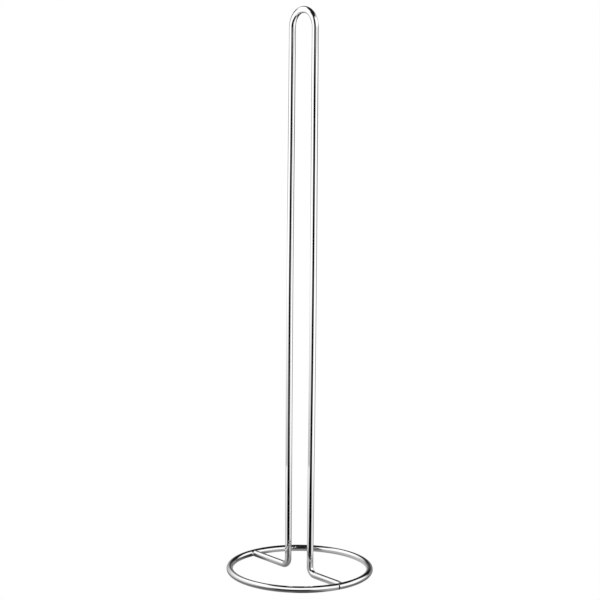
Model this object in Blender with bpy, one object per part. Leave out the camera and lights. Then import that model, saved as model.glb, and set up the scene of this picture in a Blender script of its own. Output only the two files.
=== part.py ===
"""Roll holder bent from round steel wire, welded and chrome plated.

A base ring, closed by a butt seam, carries an upright loop that the rolls slide over. The loop's
two feet run outward along the floor and are welded to the inner side of the ring. Metres, +Z up.
The origin is the middle of the ring on the floor, and the plane of the loop runs along X.
"""
import math

import bmesh
import bpy
from mathutils import Vector

# Driving dimensions
WIRE_D = 0.006
RING_OUTER_D = 0.135
STAND_HEIGHT = 0.515
LEG_SPACING = 0.0315                    # between the middles of the two legs, at their ends
LEG_BOW = 0.00065                       # how far each leg bulges outward, halfway up
FOOT_BEND_R = 0.007                     # from the bend's centre to the middle of the wire
LOOP_OFFSET_X = 0.0032                  # the loop stands slightly off the middle of the ring
LOOP_OFFSET_Y = -0.0035
SEAM_ANGLE = math.radians(-7.7)         # where the ring's two ends meet, beside the +X foot
SEAM_GAP = 0.0009
WELD_LENGTH = 0.003                     # from a foot's end to the inner side of the ring
WELD_WIDTH = 0.0105                     # along the ring
WELD_HEIGHT = 0.0056
CLEARANCE = 0.0003                      # between a weld and the wires that it joins

# Fineness of the meshes
WIRE_SIDES = 16
RING_STEPS = 72
TOP_STEPS = 18
BEND_STEPS = 6
LEG_STEPS = 8
WELD_STEPS = 6

# Sizes that follow
WIRE_R = WIRE_D / 2
RING_R = RING_OUTER_D / 2 - WIRE_R
TOP_BEND_R = LEG_SPACING / 2
TOP_BEND_Z = STAND_HEIGHT - WIRE_R - TOP_BEND_R
FOOT_BEND_Z = WIRE_R + FOOT_BEND_R
RING_INNER_X = math.sqrt((RING_R - WIRE_R) ** 2 - LOOP_OFFSET_Y ** 2)
RING_MIDDLE_X = math.sqrt(RING_R ** 2 - LOOP_OFFSET_Y ** 2)
FOOT_END_X = RING_INNER_X - WELD_LENGTH

CHROME = (0.78, 0.78, 0.79, 1.0)
X_AXIS = Vector((1, 0, 0))
Y_AXIS = Vector((0, 1, 0))
Z_AXIS = Vector((0, 0, 1))


def clear_scene():
    for existing in list(bpy.data.objects):
        bpy.data.objects.remove(existing, do_unlink=True)


def make_chrome(name, roughness):
    material = bpy.data.materials.new(name)
    material.use_nodes = True
    shader = material.node_tree.nodes["Principled BSDF"]
    shader.inputs["Base Color"].default_value = CHROME
    shader.inputs["Metallic"].default_value = 1.0
    shader.inputs["Roughness"].default_value = roughness
    material.diffuse_color = CHROME
    return material


def add_object(name, mesh_data, material=None):
    """Turn a bmesh into a named, smoothly shaded object."""
    mesh = bpy.data.meshes.new(name)
    bmesh.ops.recalc_face_normals(mesh_data, faces=mesh_data.faces)
    mesh_data.to_mesh(mesh)
    mesh_data.free()
    mesh.shade_smooth()
    mesh.set_sharp_from_angle(angle=math.radians(40))
    if material is not None:
        mesh.materials.append(material)
    made = bpy.data.objects.new(name, mesh)
    bpy.context.scene.collection.objects.link(made)
    return made


def add_section(mesh_data, centre, across, up, half_width, half_height):
    """Add the corners of an oval section whose flats lie exactly at its half width and height."""
    corner_scale = 1 / math.cos(math.pi / WIRE_SIDES)
    corners = []
    for side in range(WIRE_SIDES):
        angle = 2 * math.pi * (side + 0.5) / WIRE_SIDES
        outward = across * half_width * math.cos(angle) + up * half_height * math.sin(angle)
        corners.append(mesh_data.verts.new(centre + outward * corner_scale))
    return corners


def join_sections(mesh_data, first, second):
    for side in range(WIRE_SIDES):
        following = (side + 1) % WIRE_SIDES
        mesh_data.faces.new((first[side], first[following], second[following], second[side]))


def skin_sections(mesh_data, sections, closed=False):
    """Skin a row of sections, and cap its two ends unless it runs round to its start."""
    for first, second in zip(sections, sections[1:]):
        join_sections(mesh_data, first, second)
    if closed:
        join_sections(mesh_data, sections[-1], sections[0])
    else:
        mesh_data.faces.new(sections[0])
        mesh_data.faces.new(sections[-1])


def arc_stations(centre, radius, start, stop, steps, first_axis, second_axis):
    """Points along an arc, each with its heading, in the plane of the two axes."""
    turn = math.copysign(1, stop - start)
    stations = []
    for step in range(steps + 1):
        angle = start + (stop - start) * step / steps
        outward = first_axis * math.cos(angle) + second_axis * math.sin(angle)
        heading = (second_axis * math.cos(angle) - first_axis * math.sin(angle)) * turn
        stations.append((centre + outward * radius, heading))
    return stations


def sweep_wire(stations, plane_normal, radius, closed=False):
    """Mesh of round wire whose middle runs through the stations of a flat path."""
    mesh_data = bmesh.new()
    sections = []
    for point, heading in stations:
        across = heading.cross(plane_normal)
        sections.append(add_section(mesh_data, point, across, plane_normal, radius, radius))
    skin_sections(mesh_data, sections, closed)
    return mesh_data


def ring_mesh(wire_radius):
    middle = Vector((0, 0, WIRE_R))
    stations = arc_stations(middle, RING_R, 0, 2 * math.pi, RING_STEPS, X_AXIS, Y_AXIS)
    return sweep_wire(stations[:-1], Z_AXIS, wire_radius, closed=True)


def make_cutter(name, mesh_data):
    """A shape that only cuts others."""
    cutter = add_object(name, mesh_data)
    cutter.hide_render = True
    cutter.display_type = "WIRE"
    return cutter


def cut(target, cutter):
    modifier = target.modifiers.new("cut_by_" + cutter.name, "BOOLEAN")
    modifier.operation = "DIFFERENCE"
    modifier.solver = "EXACT"
    modifier.object = cutter


def make_base_ring(material):
    """The ring, parted at its seam."""
    ring = add_object("base_ring", ring_mesh(WIRE_R), material)
    slot = bmesh.new()
    bmesh.ops.create_cube(slot, size=1)
    bmesh.ops.scale(slot, vec=(2 * WIRE_D, SEAM_GAP, 2 * WIRE_D), verts=slot.verts)
    seam_cutter = make_cutter("seam_cutter", slot)
    seam_cutter.location = (RING_R * math.cos(SEAM_ANGLE), RING_R * math.sin(SEAM_ANGLE), WIRE_R)
    seam_cutter.rotation_euler.z = SEAM_ANGLE
    cut(ring, seam_cutter)
    return ring


def leg_stations(x, bulge, start_z, stop_z):
    """Points between the two ends of a gently bulging leg; the bends already hold its ends."""
    height = stop_z - start_z
    stations = []
    for step in range(1, LEG_STEPS):
        turn = math.pi * step / LEG_STEPS
        z = start_z + height * step / LEG_STEPS
        heading = Vector((bulge * math.pi * math.sin(2 * turn), 0, height))
        stations.append((Vector((x + bulge * math.sin(turn) ** 2, 0, z)), heading.normalized()))
    return stations


def make_upright_loop(material):
    """One wire: foot, bend, leg, round top, leg, bend and foot. Its own Y is zero at its plane."""
    right_x = LOOP_OFFSET_X + LEG_SPACING / 2
    left_x = LOOP_OFFSET_X - LEG_SPACING / 2
    top = Vector((LOOP_OFFSET_X, 0, TOP_BEND_Z))
    right_bend = Vector((right_x + FOOT_BEND_R, 0, FOOT_BEND_Z))
    left_bend = Vector((left_x - FOOT_BEND_R, 0, FOOT_BEND_Z))
    quarter = math.pi / 2
    plane = (X_AXIS, Z_AXIS)

    stations = [(Vector((FOOT_END_X, 0, WIRE_R)), -X_AXIS)]
    stations += arc_stations(right_bend, FOOT_BEND_R, -quarter, -2 * quarter, BEND_STEPS, *plane)
    stations += leg_stations(right_x, LEG_BOW, FOOT_BEND_Z, TOP_BEND_Z)
    stations += arc_stations(top, TOP_BEND_R, 0, 2 * quarter, TOP_STEPS, *plane)
    stations += leg_stations(left_x, -LEG_BOW, TOP_BEND_Z, FOOT_BEND_Z)
    stations += arc_stations(left_bend, FOOT_BEND_R, 0, -quarter, BEND_STEPS, *plane)
    stations.append((Vector((-FOOT_END_X, 0, WIRE_R)), -X_AXIS))

    loop = add_object("upright_loop", sweep_wire(stations, Y_AXIS, WIRE_R), material)
    loop.location.y = LOOP_OFFSET_Y
    return loop


def make_weld(name, side, ring_cutter, material):
    """Weld metal between a foot's end and the ring; it widens towards the ring, +X on its own."""
    mesh_data = bmesh.new()
    start = CLEARANCE
    stop = RING_MIDDLE_X - FOOT_END_X
    sections = []
    for step in range(WELD_STEPS + 1):
        reach = start + (stop - start) * step / WELD_STEPS
        flare = min(reach / WELD_LENGTH, 1) ** 2
        half_width = WIRE_R + (WELD_WIDTH / 2 - WIRE_R) * flare
        centre = X_AXIS * reach
        sections.append(add_section(mesh_data, centre, Y_AXIS, Z_AXIS, half_width, WELD_HEIGHT / 2))
    skin_sections(mesh_data, sections)
    weld = add_object(name, mesh_data, material)
    weld.location = (side * FOOT_END_X, LOOP_OFFSET_Y, WIRE_R)
    if side < 0:
        weld.rotation_euler.z = math.pi
    cut(weld, ring_cutter)
    return weld


def main():
    clear_scene()
    wire_chrome = make_chrome("wire_chrome", 0.06)
    weld_chrome = make_chrome("weld_chrome", 0.14)
    ring_cutter = make_cutter("ring_cutter", ring_mesh(WIRE_R + CLEARANCE))
    parts = [
        make_base_ring(wire_chrome),
        make_upright_loop(wire_chrome),
        make_weld("seam_foot_weld", 1, ring_cutter, weld_chrome),
        make_weld("plain_foot_weld", -1, ring_cutter, weld_chrome),
    ]
    holder = bpy.data.objects.new("roll_holder", None)
    bpy.context.scene.collection.objects.link(holder)
    for part in parts:
        part.parent = holder


main()
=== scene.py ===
"""Looks of the chrome wire roll holder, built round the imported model."""
import math
from collections import namedtuple

import bmesh
import bpy
from mathutils import Matrix, Vector


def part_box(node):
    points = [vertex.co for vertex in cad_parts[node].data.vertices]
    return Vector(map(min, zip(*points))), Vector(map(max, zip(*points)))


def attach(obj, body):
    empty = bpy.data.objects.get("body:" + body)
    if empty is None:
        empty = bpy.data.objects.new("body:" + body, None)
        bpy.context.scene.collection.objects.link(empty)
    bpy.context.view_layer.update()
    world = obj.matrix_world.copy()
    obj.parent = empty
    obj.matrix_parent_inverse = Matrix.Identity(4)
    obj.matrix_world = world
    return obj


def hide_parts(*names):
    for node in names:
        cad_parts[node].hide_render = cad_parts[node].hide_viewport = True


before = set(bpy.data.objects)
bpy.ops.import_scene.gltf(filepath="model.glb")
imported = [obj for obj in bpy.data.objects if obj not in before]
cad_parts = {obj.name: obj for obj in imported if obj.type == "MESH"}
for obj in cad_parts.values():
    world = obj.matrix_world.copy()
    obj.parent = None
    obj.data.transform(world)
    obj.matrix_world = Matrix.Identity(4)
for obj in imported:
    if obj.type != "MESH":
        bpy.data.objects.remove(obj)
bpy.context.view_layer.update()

MM = 0.001
ALONG = Vector((1, 0, 0))
ACROSS = Vector((0, 1, 0))
UP = Vector((0, 0, 1))
QUARTER = math.pi / 2

# Sizes read from the frame
ring_low, ring_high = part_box("base_ring")
loop_low, loop_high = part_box("upright_loop")
WIRE_R = (ring_high.z - ring_low.z) / 2
RING_R = (ring_high.x - ring_low.x) / 2 - WIRE_R
LOOP_Y = (loop_low.y + loop_high.y) / 2
TOP_Z = loop_high.z - WIRE_R
FOOT_END_X = loop_high.x


def leg_middles(low_part, high_part):
    """X of the two legs' middle lines, where the loop is widest between two parts of its height."""
    corners = [v.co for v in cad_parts["upright_loop"].data.vertices]
    reach = [c.x for c in corners if low_part < c.z / loop_high.z < high_part]
    return min(reach) + WIRE_R, max(reach) - WIRE_R


LEFT_X, RIGHT_X = leg_middles(low_part=0.95, high_part=1.0)
BULGE_LEFT_X, BULGE_RIGHT_X = leg_middles(low_part=0.4, high_part=0.6)
LOOP_X = (LEFT_X + RIGHT_X) / 2
TOP_R = (RIGHT_X - LEFT_X) / 2
LEG_BOW = (BULGE_RIGHT_X - BULGE_LEFT_X) / 2 - TOP_R

# Bends and seam
FOOT_BEND_R = 7 * MM
FOOT_OVERRUN = 2.5 * MM             # how far a foot runs on inside its weld
SEAM_ANGLE = math.radians(-7.7)
SEAM_GAP = 0.9 * MM
END_ROUND = 0.4 * MM                # rounding of the ring's two cut ends

# Welds
WELD_START = 2.6 * MM               # how far a weld reaches back over its foot
WELD_WIDTH = 10.5 * MM
WELD_HEIGHT = 5.7 * MM
WELD_SKIN = 0.02 * MM               # how far a weld stands out beside its foot, where it starts
WELD_LOW_PART = 0.999               # of the wire's radius, which keeps its start off the floor
WELD_FOLLOW = 0.62                  # part of its length that keeps to the foot's line
WELD_FLARE = 0.7 * MM
WELD_SIDE_FLARE = 1.9 * MM
WELD_INNER_SIZE = 0.96              # of its section, to find the way inward along the ring's face
WELD_WANDER = 0.035                 # uneven edge, as a part of half the width
WELD_FINE_WANDER = 0.02
WELD_RUN = 4 * MM                   # along its length map
WELD_DEPTH = 0.4 * MM               # from the ring's middle line to the weld's hidden end
WELD_SHARP_DEGREES = 50

# Fineness of the meshes
WIRE_SIDES = 48
RING_STEPS = 360
TOP_STEPS = 96
BEND_STEPS = 24
END_STEPS = 6
CUT_ROWS = END_STEPS // 2           # rows of a cut end that are bare steel
FOOT_STEPS = 24
LEG_STEPS = 96
WELD_STEPS = 14

# Camera: its turn round the part, its distance and height, and how it is turned from there
CAMERA_TURN = math.radians(50.2)
CAMERA_DISTANCE = 24.4307 * RING_R
CAMERA_HEIGHT = 7.6083 * RING_R
CAMERA_LENS = 105.95
CAMERA_SENSOR = 36
CAMERA_YAW = -0.0012
CAMERA_PITCH = 0.1496
CAMERA_ROLL = -0.0089

# Studio: where its front faces, as a turn about Z from +X, and its lights
FRONT_TURN = math.radians(-39.8)
WHITE = (1, 1, 1, 1)
PANEL_LIGHT = 1.15
ROOM_DARK = 0.012
FIRST_BOUNCE = 1.5                  # a ray depth below this belongs to a first reflection

# Studio: soft-edged stretches of the turn round it, in degrees from its front
Stretch = namedtuple("Stretch", "low_edge high_edge low_blur high_blur")
RIGHT_PANEL_LOW = Stretch(19.0, 104.0, 12.0, 24.0)
RIGHT_PANEL_HIGH = Stretch(19.0, 133.0, 12.0, 18.0)
LEFT_PANEL = Stretch(-150.0, -60.0, 20.0, 20.0)
REAR_STRIP = Stretch(120.0, 210.0, 30.0, 20.0)
TABLE_FRONT_GAP = Stretch(-40.0, 18.0, 22.0, 14.0)
TABLE_REAR_GAP = Stretch(95.0, 160.0, 20.0, 20.0)
FLOOR_FRONT_CLOSE = Stretch(-50.0, 36.0, 20.0, 16.0)
FLOOR_FRONT_FAR = Stretch(-43.0, 29.0, 12.0, 12.0)
FLOOR_REAR_CLOSE = Stretch(118.0, 214.0, 24.0, 24.0)
FLOOR_REAR_FAR = Stretch(104.0, 240.0, 24.0, 24.0)
TINT_BRIGHT = Stretch(18.0, 34.0, 14.0, 10.0)
TINT_FRONT = Stretch(-36.0, 14.0, 20.0, 10.0)
TINT_AHEAD = Stretch(-4.0, 20.0, 8.0, 6.0)
SCREEN_LOW = Stretch(-160.0, -40.0, 28.0, 16.0)
SCREEN_HIGH = Stretch(-114.0, -40.0, 20.0, 16.0)
CARD = Stretch(-36.0, 30.0, 20.0, 20.0)


# ---------------------------------------------------------------- meshes

def add_object(name, data):
    made = bpy.data.objects.new(name, data)
    bpy.context.scene.collection.objects.link(made)
    return made


def link_mesh(name, mesh_data, sharp_degrees=40):
    """Turn a bmesh into a smoothly shaded object."""
    bmesh.ops.recalc_face_normals(mesh_data, faces=mesh_data.faces)
    mesh = bpy.data.meshes.new(name)
    mesh_data.to_mesh(mesh)
    mesh_data.free()
    mesh.shade_smooth()
    mesh.set_sharp_from_angle(angle=math.radians(sharp_degrees))
    return add_object(name, mesh)


def start_mesh():
    """Empty bmesh and its length map."""
    mesh_data = bmesh.new()
    return mesh_data, mesh_data.loops.layers.uv.new("length_map")


def skin_rows(mesh_data, length_map, rows, runs, cut_rows=0):
    """Faces between neighbouring rows of points, mapped by their run and girth in metres.

    The first and last cut_rows rows of faces take the second material."""
    girth = 2 * math.pi * WIRE_R
    last = len(rows) - 1
    for index in range(last):
        first = rows[index]
        second = rows[index + 1]
        in_cut = index < cut_rows or index >= last - cut_rows
        corner_runs = (runs[index], runs[index], runs[index + 1], runs[index + 1])
        for side in range(WIRE_SIDES):
            after = (side + 1) % WIRE_SIDES
            face = mesh_data.faces.new((first[side], first[after], second[after], second[side]))
            face.material_index = 1 if in_cut else 0
            corner_sides = (side, side + 1, side + 1, side)
            for corner, run, corner_side in zip(face.loops, corner_runs, corner_sides):
                corner[length_map].uv = (run, corner_side / WIRE_SIDES * girth)


# ---------------------------------------------------------------- wires

def arc(centre, radius, start, stop, steps, first_axis, second_axis):
    """Stations along an arc, its two ends included: point, heading and radius of the wire."""
    turn = math.copysign(1, stop - start)
    stations = []
    for step in range(steps + 1):
        angle = start + (stop - start) * step / steps
        outward = first_axis * math.cos(angle) + second_axis * math.sin(angle)
        heading = (second_axis * math.cos(angle) - first_axis * math.sin(angle)) * turn
        stations.append((centre + outward * radius, heading, WIRE_R))
    return stations


def straight(start, stop, steps):
    """Stations between two ends, without the ends themselves."""
    heading = (stop - start).normalized()
    stations = []
    for step in range(1, steps):
        stations.append((start.lerp(stop, step / steps), heading, WIRE_R))
    return stations


def leg(start, stop, bulge):
    """Stations between the two ends of a leg that bulges gently along X, without the ends."""
    stations = []
    for step in range(1, LEG_STEPS):
        turn = math.pi * step / LEG_STEPS
        point = start.lerp(stop, step / LEG_STEPS) + ALONG * bulge * math.sin(turn) ** 2
        heading = stop - start + ALONG * bulge * math.pi * math.sin(2 * turn)
        stations.append((point, heading.normalized(), WIRE_R))
    return stations


def cut_end(centre, cut_angle, turn):
    """Stations from a cut face of the ring up to its full wire; turn is +1 or -1, off the cut."""
    stations = []
    for step in range(END_STEPS):
        lean = QUARTER * step / END_STEPS
        angle = cut_angle + turn * END_ROUND * (1 - math.cos(lean)) / RING_R
        radius = WIRE_R - END_ROUND * (1 - math.sin(lean))
        outward = Vector((math.cos(angle), math.sin(angle), 0))
        heading = Vector((-math.sin(angle), math.cos(angle), 0))
        stations.append((centre + outward * RING_R, heading, radius))
    return stations


def sweep(name, stations, plane_normal, cut_rows=0):
    """Round wire through the stations of a flat path, closed at both ends.

    With cut_rows, its two ends take the second material."""
    mesh_data, length_map = start_mesh()
    rows = []
    runs = [0.0]
    for index, (point, heading, radius) in enumerate(stations):
        if index:
            runs.append(runs[-1] + (point - stations[index - 1][0]).length)
        across = heading.cross(plane_normal)
        row = []
        for side in range(WIRE_SIDES):
            angle = 2 * math.pi * side / WIRE_SIDES
            outward = across * math.cos(angle) + plane_normal * math.sin(angle)
            row.append(mesh_data.verts.new(point + outward * radius))
        rows.append(row)
    skin_rows(mesh_data, length_map, rows, runs, cut_rows)
    for row in (rows[0], rows[-1]):
        mesh_data.faces.new(row).material_index = 1 if cut_rows else 0
    return link_mesh(name, mesh_data)


def make_ring_wire(plate, bare_steel):
    """The ring, from one side of its seam round to the other, with rounded cut ends."""
    centre = Vector((0, 0, WIRE_R))
    half_gap = SEAM_GAP / 2 / RING_R
    rounding = END_ROUND / RING_R
    first = SEAM_ANGLE + half_gap
    last = SEAM_ANGLE + 2 * math.pi - half_gap
    stations = cut_end(centre, first, 1)
    stations += arc(centre, RING_R, first + rounding, last - rounding, RING_STEPS, ALONG, ACROSS)
    stations += cut_end(centre, last, -1)[::-1]
    ring = sweep("ring_wire", stations, UP, CUT_ROWS)
    ring.data.materials.append(plate)
    ring.data.materials.append(bare_steel)
    return ring


def make_loop_wire(plate):
    """One wire: foot, bend, leg, round top, leg, bend and foot."""
    foot_z = WIRE_R
    bend_z = WIRE_R + FOOT_BEND_R
    top = Vector((LOOP_X, LOOP_Y, TOP_Z - TOP_R))
    right_bend = Vector((RIGHT_X + FOOT_BEND_R, LOOP_Y, bend_z))
    left_bend = Vector((LEFT_X - FOOT_BEND_R, LOOP_Y, bend_z))
    right_end = Vector((FOOT_END_X + FOOT_OVERRUN, LOOP_Y, foot_z))
    left_end = Vector((-FOOT_END_X - FOOT_OVERRUN, LOOP_Y, foot_z))
    right_foot = arc(right_bend, FOOT_BEND_R, -QUARTER, -2 * QUARTER, BEND_STEPS, ALONG, UP)
    round_top = arc(top, TOP_R, 0, 2 * QUARTER, TOP_STEPS, ALONG, UP)
    left_foot = arc(left_bend, FOOT_BEND_R, 0, -QUARTER, BEND_STEPS, ALONG, UP)

    stations = [(right_end, -ALONG, WIRE_R)]
    stations += straight(right_end, right_foot[0][0], FOOT_STEPS)
    stations += right_foot
    stations += leg(right_foot[-1][0], round_top[0][0], LEG_BOW)
    stations += round_top
    stations += leg(round_top[-1][0], left_foot[0][0], -LEG_BOW)
    stations += left_foot
    stations += straight(left_foot[-1][0], left_end, FOOT_STEPS)
    stations.append((left_end, -ALONG, WIRE_R))
    loop = sweep("loop_wire", stations, ACROSS)
    loop.data.materials.append(plate)
    return loop


# ---------------------------------------------------------------- welds

def ring_inner_face(sideways, height, size=1.0):
    """Point on the ring's inner face, on the +X side, at parts of the weld's half width and height."""
    y = LOOP_Y + WELD_WIDTH / 2 * size * sideways
    z = WIRE_R + WELD_HEIGHT / 2 * size * height
    depth = math.sqrt(WIRE_R ** 2 - (z - WIRE_R) ** 2)
    return Vector((math.sqrt((RING_R - depth) ** 2 - y ** 2), y, z))


def weld_line(angle, phase):
    """The four points of the curve that leads one line of a weld from its foot onto the ring."""
    sideways = math.cos(angle)
    height = math.sin(angle)
    wander = WELD_WANDER * math.sin(3 * angle + phase)
    fine_wander = WELD_FINE_WANDER * math.sin(5 * angle - 2 * phase)
    spread = sideways * (1 + wander + fine_wander)
    start = Vector((FOOT_END_X - WELD_START, LOOP_Y, WIRE_R))
    start += ACROSS * (WIRE_R + WELD_SKIN) * sideways
    start += UP * WIRE_R * WELD_LOW_PART * height
    stop = ring_inner_face(spread, height)
    inward = (ring_inner_face(spread, height, WELD_INNER_SIZE) - stop).normalized()
    start_pull = start + ALONG * (stop.x - start.x) * WELD_FOLLOW
    stop_pull = stop + inward * (WELD_SIDE_FLARE * abs(sideways) + WELD_FLARE)
    return start, start_pull, stop_pull, stop


def curve_point(line, part):
    """Point of a Bezier curve from its start, two pulls and stop."""
    start, start_pull, stop_pull, stop = line
    left = 1 - part
    point = start * left ** 3
    point += start_pull * 3 * left ** 2 * part
    point += stop_pull * 3 * left * part ** 2
    point += stop * part ** 3
    return point


def make_weld(name, side, phase, plate):
    """Weld metal that flares from a foot onto the ring's inner face; side is +1 or -1 along X."""
    mesh_data, length_map = start_mesh()
    lines = [weld_line(2 * math.pi * place / WIRE_SIDES, phase) for place in range(WIRE_SIDES)]
    rows = []
    runs = []
    for step in range(WELD_STEPS + 1):
        row = []
        for line in lines:
            point = curve_point(line, step / WELD_STEPS)
            point.x *= side
            row.append(mesh_data.verts.new(point))
        rows.append(row)
        runs.append(step / WELD_STEPS * WELD_RUN)
    skin_rows(mesh_data, length_map, rows, runs)

    foot_middle = Vector((side * (FOOT_END_X - WELD_START), LOOP_Y, WIRE_R))
    ring_middle = Vector((side * (RING_R - WELD_DEPTH), LOOP_Y, WIRE_R))
    for row, middle in ((rows[0], foot_middle), (rows[-1], ring_middle)):
        hub = mesh_data.verts.new(middle)
        for place in range(WIRE_SIDES):
            mesh_data.faces.new((row[place], row[(place + 1) % WIRE_SIDES], hub))
    weld = link_mesh(name, mesh_data, WELD_SHARP_DEGREES)
    weld.data.materials.append(plate)
    return weld


def make_seam_weld(plate):
    """The front foot's weld, beside the ring's seam."""
    return make_weld("seam_weld", 1, 0.4, plate)


def make_plain_weld(plate):
    """The rear foot's weld."""
    return make_weld("plain_weld", -1, 2.1, plate)


# ---------------------------------------------------------------- node helpers

class Bench:
    """Short way to place and join nodes in one tree."""

    def __init__(self, tree):
        self.tree = tree

    def place(self, kind, feeds=None, **settings):
        made = self.tree.nodes.new(kind)
        for key, value in settings.items():
            setattr(made, key, value)
        for key, value in (feeds or {}).items():
            self.feed(made.inputs[key], value)
        return made

    def feed(self, socket, value):
        if isinstance(value, bpy.types.NodeSocket):
            self.tree.links.new(value, socket)
        else:
            socket.default_value = value

    def maths(self, operation, *values):
        feeds = dict(enumerate(values))
        return self.place("ShaderNodeMath", feeds, operation=operation).outputs[0]

    def product(self, first, *others):
        for other in others:
            first = self.maths("MULTIPLY", first, other)
        return first

    def step(self, value, low, high, start=0.0, stop=1.0):
        """Smooth change from start to stop as value goes from low to high."""
        feeds = {"Value": value, "From Min": low, "From Max": high, "To Min": start, "To Max": stop}
        made = self.place("ShaderNodeMapRange", feeds, interpolation_type="SMOOTHSTEP")
        return made.outputs["Result"]

    def mix(self, part, first, second):
        """Value between first and second."""
        made = self.place("ShaderNodeMix", data_type="FLOAT")
        for key, value in ((0, part), (2, first), (3, second)):
            self.feed(made.inputs[key], value)
        return made.outputs[0]

    def grey(self, value):
        """Neutral colour of one brightness."""
        return self.place("ShaderNodeCombineColor", {0: value, 1: value, 2: value}).outputs[0]

    def bump(self, height):
        """Normal that follows a height in metres."""
        feeds = {"Strength": 1.0, "Distance": 1.0, "Height": height}
        return self.place("ShaderNodeBump", feeds).outputs["Normal"]


def new_group(name, inputs, outputs):
    """Node group with float sockets, or a vector socket where the default is None."""
    group = bpy.data.node_groups.new(name, "ShaderNodeTree")
    for label, value in inputs.items():
        kind = "NodeSocketVector" if value is None else "NodeSocketFloat"
        socket = group.interface.new_socket(name=label, in_out="INPUT", socket_type=kind)
        if value is not None:
            socket.default_value = value
    for label in outputs:
        group.interface.new_socket(name=label, in_out="OUTPUT", socket_type="NodeSocketFloat")
    bench = Bench(group)
    entry = bench.place("NodeGroupInput")
    leave = bench.place("NodeGroupOutput")
    return group, bench, entry.outputs, leave.inputs


def use_group(bench, group, feeds):
    made = bench.place("ShaderNodeGroup", node_tree=group)
    for key, value in feeds.items():
        bench.feed(made.inputs[key], value)
    return made.outputs


# ---------------------------------------------------------------- metal

def drawn_lines_group():
    """Fine lines that the drawing die leaves along the wire, under the plate."""
    group, bench, given, out = new_group(
        "drawn_lines", {"Place": None, "Stretch": 40.0, "Fineness": 9000.0}, ("Height", "Mask"))
    parts = bench.place("ShaderNodeSeparateXYZ", {0: given["Place"]})
    slow = bench.maths("DIVIDE", parts.outputs[0], given["Stretch"])
    place = bench.place("ShaderNodeCombineXYZ", {0: slow, 1: parts.outputs[1]})
    noise = bench.place("ShaderNodeTexNoise", {"Vector": place.outputs[0], "Scale": given["Fineness"],
                                               "Detail": 3.0, "Roughness": 0.6})
    bench.feed(out["Height"], noise.outputs["Fac"])
    bench.feed(out["Mask"], bench.step(noise.outputs["Fac"], 0.35, 0.65))
    return group


def plating_group():
    """Slow swell, and pin marks in scattered fields, of a plated surface."""
    group, bench, given, out = new_group(
        "plating_swell",
        {"Place": None, "Swell Scale": 120.0, "Pin Scale": 1400.0, "Pin Field Scale": 260.0},
        ("Height", "Pins"))
    swell = bench.place("ShaderNodeTexNoise", {"Vector": given["Place"], "Scale": given["Swell Scale"],
                                               "Detail": 1.0})
    cells = bench.place("ShaderNodeTexVoronoi", {"Vector": given["Place"], "Scale": given["Pin Scale"]})
    field = bench.place("ShaderNodeTexNoise", {"Vector": given["Place"],
                                               "Scale": given["Pin Field Scale"], "Detail": 0.0})
    pins = bench.step(cells.outputs["Distance"], 0.06, 0.12, 1.0, 0.0)
    bench.feed(out["Height"], swell.outputs["Fac"])
    bench.feed(out["Pins"], bench.product(pins, bench.step(field.outputs["Fac"], 0.6, 0.7)))
    return group


def handling_group():
    """Soft smears, and thin dust that is thickest at the floor."""
    group, bench, given, out = new_group(
        "handling_marks",
        {"Place": None, "Smear Scale": 45.0, "Dust Scale": 900.0, "Floor Dust Height": 0.02},
        ("Smear", "Dust"))
    smear = bench.place("ShaderNodeTexNoise", {"Vector": given["Place"], "Scale": given["Smear Scale"],
                                               "Detail": 4.0, "Roughness": 0.55, "Distortion": 0.6})
    speck = bench.place("ShaderNodeTexNoise", {"Vector": given["Place"], "Scale": given["Dust Scale"],
                                               "Detail": 2.0})
    parts = bench.place("ShaderNodeSeparateXYZ", {0: given["Place"]})
    low = bench.step(parts.outputs[2], 0.0, given["Floor Dust Height"], 1.0, 0.25)
    bench.feed(out["Smear"], bench.step(smear.outputs["Fac"], 0.42, 0.7))
    bench.feed(out["Dust"], bench.product(bench.step(speck.outputs["Fac"], 0.55, 0.75), low))
    return group


def start_metal(name):
    """Metal material, its bench and its shader's sockets."""
    material = bpy.data.materials.new(name)
    material.use_nodes = True
    sockets = material.node_tree.nodes["Principled BSDF"].inputs
    sockets["Metallic"].default_value = 1.0
    return material, Bench(material.node_tree), sockets


def chrome_plate(name, groups, clean_roughness, worn_roughness, line_depth, swell_depth, swell_scale,
                 extra_height=None):
    """Bright plate: grey metal, mirror gloss with smears, drawn lines and a slight swell."""
    material, bench, sockets = start_metal(name)
    sockets["IOR"].default_value = 1.6
    place = bench.place("ShaderNodeTexCoord").outputs["Object"]
    length = bench.place("ShaderNodeUVMap", uv_map="length_map").outputs["UV"]
    lines = use_group(bench, groups["lines"], {"Place": length})
    plating = use_group(bench, groups["plating"], {"Place": place, "Swell Scale": swell_scale})
    marks = use_group(bench, groups["marks"], {"Place": place})

    roughness = bench.mix(marks["Smear"], clean_roughness, worn_roughness)
    roughness = bench.maths("ADD", roughness, bench.product(marks["Dust"], 0.05))
    roughness = bench.maths("ADD", roughness, bench.product(lines["Mask"], 0.008))
    bench.feed(sockets["Roughness"], roughness)

    brightness = bench.mix(marks["Smear"], 0.93, 0.90)
    brightness = bench.maths("SUBTRACT", brightness, bench.product(plating["Pins"], 0.25))
    brightness = bench.maths("SUBTRACT", brightness, bench.product(marks["Dust"], 0.05))
    bench.feed(sockets["Base Color"], bench.grey(brightness))

    pin_depth = 0.004 * MM
    height = bench.product(lines["Height"], line_depth)
    height = bench.maths("ADD", height, bench.product(plating["Height"], swell_depth))
    height = bench.maths("SUBTRACT", height, bench.product(plating["Pins"], pin_depth))
    if extra_height:
        height = bench.maths("ADD", height, extra_height(bench, place))
    bench.feed(sockets["Normal"], bench.bump(height))
    return material


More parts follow.
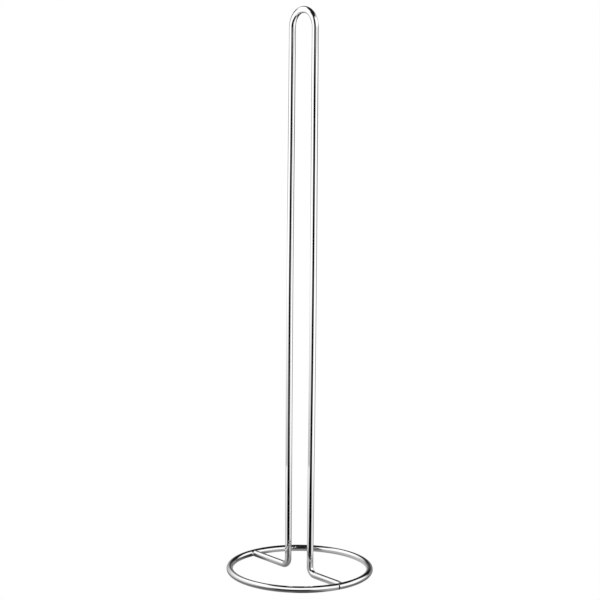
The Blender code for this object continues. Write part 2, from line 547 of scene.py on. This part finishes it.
def weld_beads(bench, place):
    """Shallow beads left where the weld metal froze, smoothed by dressing."""
    wave = bench.place(
        "ShaderNodeTexWave", {"Vector": place, "Scale": 420.0, "Distortion": 3.0, "Detail": 2.0},
        wave_type="BANDS", bands_direction="X")
    lumps = bench.place("ShaderNodeTexNoise", {"Vector": place, "Scale": 700.0, "Detail": 2.0})
    bead_depth = 0.02 * MM
    lump_depth = 0.06 * MM
    beads = bench.product(wave.outputs["Fac"], bead_depth)
    return bench.maths("ADD", beads, bench.product(lumps.outputs["Fac"], lump_depth))


def make_wire_chrome(groups):
    """Chrome on drawn wire: nearly a mirror."""
    return chrome_plate("wire_chrome", groups, clean_roughness=0.035, worn_roughness=0.06,
                        line_depth=0.0006 * MM, swell_depth=0.01 * MM, swell_scale=120.0)


def make_weld_chrome(groups):
    """Chrome over a dressed weld: softer, without drawn lines, and slightly beaded."""
    return chrome_plate("weld_chrome", groups, clean_roughness=0.06, worn_roughness=0.12,
                        line_depth=0.0, swell_depth=0.03 * MM, swell_scale=300.0,
                        extra_height=weld_beads)


def make_cut_steel(groups):
    """Dull dark steel inside the seam, where the plate hardly reaches."""
    material, bench, sockets = start_metal("cut_steel")
    place = bench.place("ShaderNodeTexCoord").outputs["Object"]
    plating = use_group(bench, groups["plating"], {"Place": place, "Swell Scale": 900.0})
    marks = use_group(bench, groups["marks"], {"Place": place, "Smear Scale": 600.0})
    rough_depth = 0.05 * MM
    bench.feed(sockets["Base Color"], bench.grey(bench.mix(marks["Smear"], 0.03, 0.08)))
    bench.feed(sockets["Roughness"], bench.mix(marks["Smear"], 0.5, 0.7))
    bench.feed(sockets["Normal"], bench.bump(bench.product(plating["Height"], rough_depth)))
    return material


# ---------------------------------------------------------------- studio helpers

def stretch_group():
    """Soft-edged stretch of the turn round the studio: 1 between its two edges, in degrees."""
    group, bench, given, out = new_group(
        "studio_stretch",
        {"Around": 0.0, "Middle": 0.0, "Half Width": 30.0, "Low Blur": 10.0, "High Blur": 10.0},
        ("Mask",))
    away = bench.maths("SUBTRACT", given["Around"], given["Middle"])
    away = bench.maths("WRAP", away, 180.0, -180.0)
    masks = []
    for side, blur in ((-1.0, "Low Blur"), (1.0, "High Blur")):
        half_blur = bench.product(given[blur], 0.5)
        start = bench.maths("SUBTRACT", given["Half Width"], half_blur)
        stop = bench.maths("ADD", given["Half Width"], half_blur)
        masks.append(bench.step(bench.product(away, side), start, stop, 1.0, 0.0))
    bench.feed(out["Mask"], bench.product(*masks))
    return group


class Studio:
    """One material's view of the studio: where a direction or a place lies round its front."""

    def __init__(self, bench, stretches, direction):
        self.bench = bench
        self.stretches = stretches
        turn = bench.place("ShaderNodeVectorRotate", {"Vector": direction, "Angle": -FRONT_TURN},
                           rotation_type="Z_AXIS")
        self.turned = turn.outputs[0]
        parts = bench.place("ShaderNodeSeparateXYZ", {0: self.turned}).outputs
        self.around = bench.maths("DEGREES", bench.maths("ARCTAN2", parts[1], parts[0]))

    def height(self):
        """Angle above the horizon, in degrees."""
        unit = self.bench.place("ShaderNodeVectorMath", {0: self.turned}, operation="NORMALIZE")
        rise = self.bench.place("ShaderNodeSeparateXYZ", {0: unit.outputs[0]}).outputs[2]
        return self.bench.maths("DEGREES", self.bench.maths("ARCSINE", rise))

    def within(self, stretch):
        """1 inside a stretch of the turn round the studio, and 0 outside."""
        middle = (stretch.low_edge + stretch.high_edge) / 2
        half_width = (stretch.high_edge - stretch.low_edge) / 2
        feeds = {"Around": self.around, "Middle": middle, "Half Width": half_width,
                 "Low Blur": stretch.low_blur, "High Blur": stretch.high_blur}
        return use_group(self.bench, self.stretches, feeds)["Mask"]


def start_stage_material(name, stretches):
    """Bare material, its view of the studio, the place on its surface, and its output socket."""
    material = bpy.data.materials.new(name)
    material.use_nodes = True
    nodes = material.node_tree.nodes
    nodes.remove(nodes["Principled BSDF"])
    bench = Bench(material.node_tree)
    place = bench.place("ShaderNodeNewGeometry").outputs["Position"]
    return material, Studio(bench, stretches, place), place, nodes["Material Output"].inputs["Surface"]


def glow_at_first_bounce(bench, surface, part, light):
    """White glow by part and clear elsewhere, seen only by a first reflection."""
    bounce = bench.place("ShaderNodeLightPath").outputs["Ray Depth"]
    part = bench.product(part, bench.maths("LESS_THAN", bounce, FIRST_BOUNCE))
    glow = bench.place("ShaderNodeEmission", {"Color": WHITE, "Strength": light}).outputs[0]
    clear = bench.place("ShaderNodeBsdfTransparent").outputs[0]
    shown = bench.place("ShaderNodeMixShader", {0: part, 1: clear, 2: glow})
    bench.feed(surface, shown.outputs[0])


def curved_sheet(name, low_turn, high_turn, steps, profile):
    """Upright or flat sheet bent round the Z axis; profile gives two (radius, height) edges."""
    mesh_data = bmesh.new()
    rows = []
    for step in range(steps + 1):
        angle = FRONT_TURN + math.radians(low_turn + (high_turn - low_turn) * step / steps)
        outward = Vector((math.cos(angle), math.sin(angle), 0))
        rows.append([mesh_data.verts.new(outward * radius + UP * level) for radius, level in profile])
    for first, second in zip(rows, rows[1:]):
        mesh_data.faces.new((first[0], second[0], second[1], first[1]))
    mesh = bpy.data.meshes.new(name)
    mesh_data.to_mesh(mesh)
    mesh_data.free()
    sheet = add_object(name, mesh)
    sheet.visible_camera = False
    sheet.visible_diffuse = False
    sheet.visible_shadow = False
    return sheet


# ---------------------------------------------------------------- studio

def room_light(studio, height):
    """Light of the room above the table: white panels right and left, a grey strip at the rear."""
    bench = studio.bench
    right_low = studio.within(RIGHT_PANEL_LOW)
    right_high = studio.within(RIGHT_PANEL_HIGH)
    right = bench.mix(bench.step(height, 3.0, 14.0), right_low, right_high)
    slanted = bench.maths("ADD", height, bench.product(studio.around, 0.12))
    right = bench.product(right, bench.step(slanted, 50.0, 64.0, 1.0, 0.0), PANEL_LIGHT)
    left_rise = bench.product(bench.step(height, 16.0, 28.0), bench.step(height, 56.0, 68.0, 1.0, 0.0))
    left = bench.product(studio.within(LEFT_PANEL), left_rise, PANEL_LIGHT)
    rear = bench.product(studio.within(REAR_STRIP), bench.step(height, 4.0, 22.0, 0.22, ROOM_DARK))
    light = bench.maths("MAXIMUM", right, ROOM_DARK)
    light = bench.maths("MAXIMUM", light, rear)
    return bench.maths("MAXIMUM", light, left)


def table_light(studio, height):
    """Light of the near table below: grey, lighter far off, and darker in front and at the rear."""
    bench = studio.bench
    far_off = bench.maths("DIVIDE", bench.maths("ADD", height, 90.0), 90.0)
    light = bench.maths("ADD", 0.25, bench.product(bench.maths("POWER", far_off, 1.5), 0.36))
    gap_light = bench.step(height, -75.0, 0.0, 1.0, 0.06)
    front = bench.mix(studio.within(TABLE_FRONT_GAP), 1.0, gap_light)
    rear = bench.mix(bench.product(studio.within(TABLE_REAR_GAP), 0.6), 1.0, gap_light)
    return bench.product(light, bench.product(front, rear))


def make_world(stretches):
    """White to the eye; in the chrome, a room with a dark top above and the near table below."""
    world = bpy.data.worlds.new("studio")
    world.use_nodes = True
    bpy.context.scene.world = world
    bench = Bench(world.node_tree)
    studio = Studio(bench, stretches, bench.place("ShaderNodeTexCoord").outputs["Generated"])
    height = studio.height()
    above = bench.step(height, -8.0, 10.0)
    light = bench.mix(above, table_light(studio, height), room_light(studio, height))
    seen = bench.place("ShaderNodeLightPath").outputs["Is Camera Ray"]
    tone = bench.grey(bench.mix(seen, light, 1.0))
    bench.feed(world.node_tree.nodes["Background"].inputs["Color"], tone)


def far_floor_light(studio, distance):
    """Light of the floor away from the ring: white at the sides, dark in front and at the rear."""
    bench = studio.bench
    front = bench.mix(bench.step(distance, 170 * MM, 640 * MM),
                      studio.within(FLOOR_FRONT_CLOSE), studio.within(FLOOR_FRONT_FAR))
    rear = bench.mix(bench.step(distance, 1500 * MM, 5000 * MM),
                     studio.within(FLOOR_REAR_CLOSE), studio.within(FLOOR_REAR_FAR))
    off_front = bench.maths("ABSOLUTE", studio.around)
    light = bench.step(off_front, 75.0, 110.0, PANEL_LIGHT, 0.85)
    light = bench.product(light, bench.step(distance, 90 * MM, 600 * MM, 0.7, 1.0))
    light = bench.mix(front, light, 0.0)
    return bench.mix(rear, light, 0.08)


def near_floor_tint_and_weld_shadow(studio, place, distance):
    """Tint of the floor under and beside the ring, which lets the grey table through, and a painted
    contact shadow round the rear weld.
    """
    bench = studio.bench
    ahead = bench.product(studio.within(TINT_AHEAD), bench.step(distance, 24 * MM, 34 * MM))
    inside = bench.mix(ahead, bench.step(distance, 25 * MM, 50 * MM, 0.68, 1.0), 0.12)
    outside = bench.mix(studio.within(TINT_BRIGHT), 0.40, 0.85)
    outside = bench.mix(studio.within(TINT_FRONT), outside, 0.32)
    tint = bench.mix(bench.step(distance, 63 * MM, 70 * MM), inside, outside)
    # Painted contact shadow: in the chrome, the floor darkens round the rear weld's joint.
    weld_shadow_centre = (-FOOT_END_X, LOOP_Y, 0)
    off_weld_shadow = bench.place("ShaderNodeVectorMath", {0: place, 1: weld_shadow_centre}, operation="DISTANCE")
    return bench.product(tint, bench.step(off_weld_shadow.outputs["Value"], 3 * MM, 24 * MM, 0.12, 1.0))


def make_floor(stretches):
    """Floor: white to the eye; in the chrome, tinted clear near the ring, with a painted contact shadow
    round the rear weld, and glowing farther out.
    """
    reach = 60.0
    level = -0.2 * MM
    mesh_data = bmesh.new()
    corners = [mesh_data.verts.new((reach * across, reach * along, level))
               for across, along in ((-1, -1), (1, -1), (1, 1), (-1, 1))]
    mesh_data.faces.new(corners)
    floor = link_mesh("floor", mesh_data)
    material, studio, place, surface = start_stage_material("pale_floor", stretches)
    bench = studio.bench
    distance = bench.place("ShaderNodeVectorMath", {0: place}, operation="LENGTH").outputs["Value"]
    far_tone = bench.grey(far_floor_light(studio, distance))
    near_tone_and_weld_shadow = bench.grey(near_floor_tint_and_weld_shadow(studio, place, distance))

    glow = bench.place("ShaderNodeEmission", {"Color": far_tone}).outputs[0]
    clear = bench.place("ShaderNodeBsdfTransparent", {"Color": near_tone_and_weld_shadow}).outputs[0]
    farther = bench.step(distance, 76 * MM, 96 * MM)
    in_chrome = bench.place("ShaderNodeMixShader", {0: farther, 1: clear, 2: glow}).outputs[0]
    white = bench.place("ShaderNodeEmission", {"Color": WHITE}).outputs[0]
    seen = bench.place("ShaderNodeLightPath").outputs["Is Camera Ray"]
    shown = bench.place("ShaderNodeMixShader", {0: seen, 1: in_chrome, 2: white})
    bench.feed(surface, shown.outputs[0])
    floor.data.materials.append(material)


def make_left_screen(stretches):
    """White screen that curves round the left side, brighter towards its upper part."""
    radius = 410 * MM
    top = 960 * MM
    screen = curved_sheet("left_screen", -180.0, -20.0, 40, ((radius, 0.0), (radius, top)))
    material, studio, place, surface = start_stage_material("screen_white", stretches)
    bench = studio.bench
    level = bench.place("ShaderNodeSeparateXYZ", {0: place}).outputs[2]
    part = bench.mix(bench.step(level, 160 * MM, 340 * MM),
                     studio.within(SCREEN_LOW), studio.within(SCREEN_HIGH))
    part = bench.product(part, bench.step(level, 800 * MM, 920 * MM, 1.0, 0.0))
    light = bench.step(level, -60 * MM, 270 * MM, 0.5, PANEL_LIGHT)
    light = bench.product(light, bench.step(studio.around, -165.0, -115.0, 0.6, 1.0))
    glow_at_first_bounce(bench, surface, part, light)
    screen.data.materials.append(material)


def make_front_card(stretches):
    """White card low in front of the ring, which glows on one side only."""
    inner = 67.6 * MM
    outer = 104 * MM
    level = 11 * MM
    card = curved_sheet("front_card", -46.0, 46.0, 28, ((inner, level), (outer, level)))
    material, studio, place, surface = start_stage_material("card_white", stretches)
    bench = studio.bench
    flat = bench.place("ShaderNodeVectorMath", {0: place, 1: (1, 1, 0)}, operation="MULTIPLY").outputs[0]
    distance = bench.place("ShaderNodeVectorMath", {0: flat}, operation="LENGTH").outputs["Value"]
    inner_edge = bench.step(distance, inner, inner + 2 * MM)
    outer_edge = bench.step(distance, outer - 18 * MM, outer, 1.0, 0.0)
    back = bench.place("ShaderNodeNewGeometry").outputs["Backfacing"]
    facing = bench.maths("SUBTRACT", 1.0, back)
    part = bench.product(studio.within(CARD), inner_edge, outer_edge, facing)
    glow_at_first_bounce(bench, surface, part, PANEL_LIGHT)
    card.data.materials.append(material)


def make_camera():
    """Camera towards the part's front-right side, nearly level with the loop's top."""
    data = bpy.data.cameras.new("camera")
    data.lens = CAMERA_LENS
    data.sensor_width = CAMERA_SENSOR
    camera = add_object("camera", data)
    away = Vector((math.sin(CAMERA_TURN), -math.cos(CAMERA_TURN), 0))
    camera.location = away * CAMERA_DISTANCE + UP * CAMERA_HEIGHT
    turn = Matrix.Rotation(CAMERA_TURN - CAMERA_YAW, 3, "Z")
    turn = turn @ Matrix.Rotation(QUARTER - CAMERA_PITCH, 3, "X")
    turn = turn @ Matrix.Rotation(-CAMERA_ROLL, 3, "Z")
    camera.rotation_euler = turn.to_euler()
    bpy.context.scene.camera = camera


# ---------------------------------------------------------------- making

make_camera()
bpy.context.scene.view_settings.view_transform = "Standard"

metal_groups = {"lines": drawn_lines_group(), "plating": plating_group(), "marks": handling_group()}
wire_chrome = make_wire_chrome(metal_groups)
weld_chrome = make_weld_chrome(metal_groups)
cut_steel = make_cut_steel(metal_groups)

for piece, node, slot in (
        (make_ring_wire(wire_chrome, cut_steel), "base_ring", "wire_chrome"),
        (make_loop_wire(wire_chrome), "upright_loop", "wire_chrome"),
        (make_seam_weld(weld_chrome), "seam_foot_weld", "weld_chrome"),
        (make_plain_weld(weld_chrome), "plain_foot_weld", "weld_chrome")):
    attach(piece, "root")
    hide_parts(node)

studio_stretches = stretch_group()
make_world(studio_stretches)
make_floor(studio_stretches)
make_left_screen(studio_stretches)
make_front_card(studio_stretches)
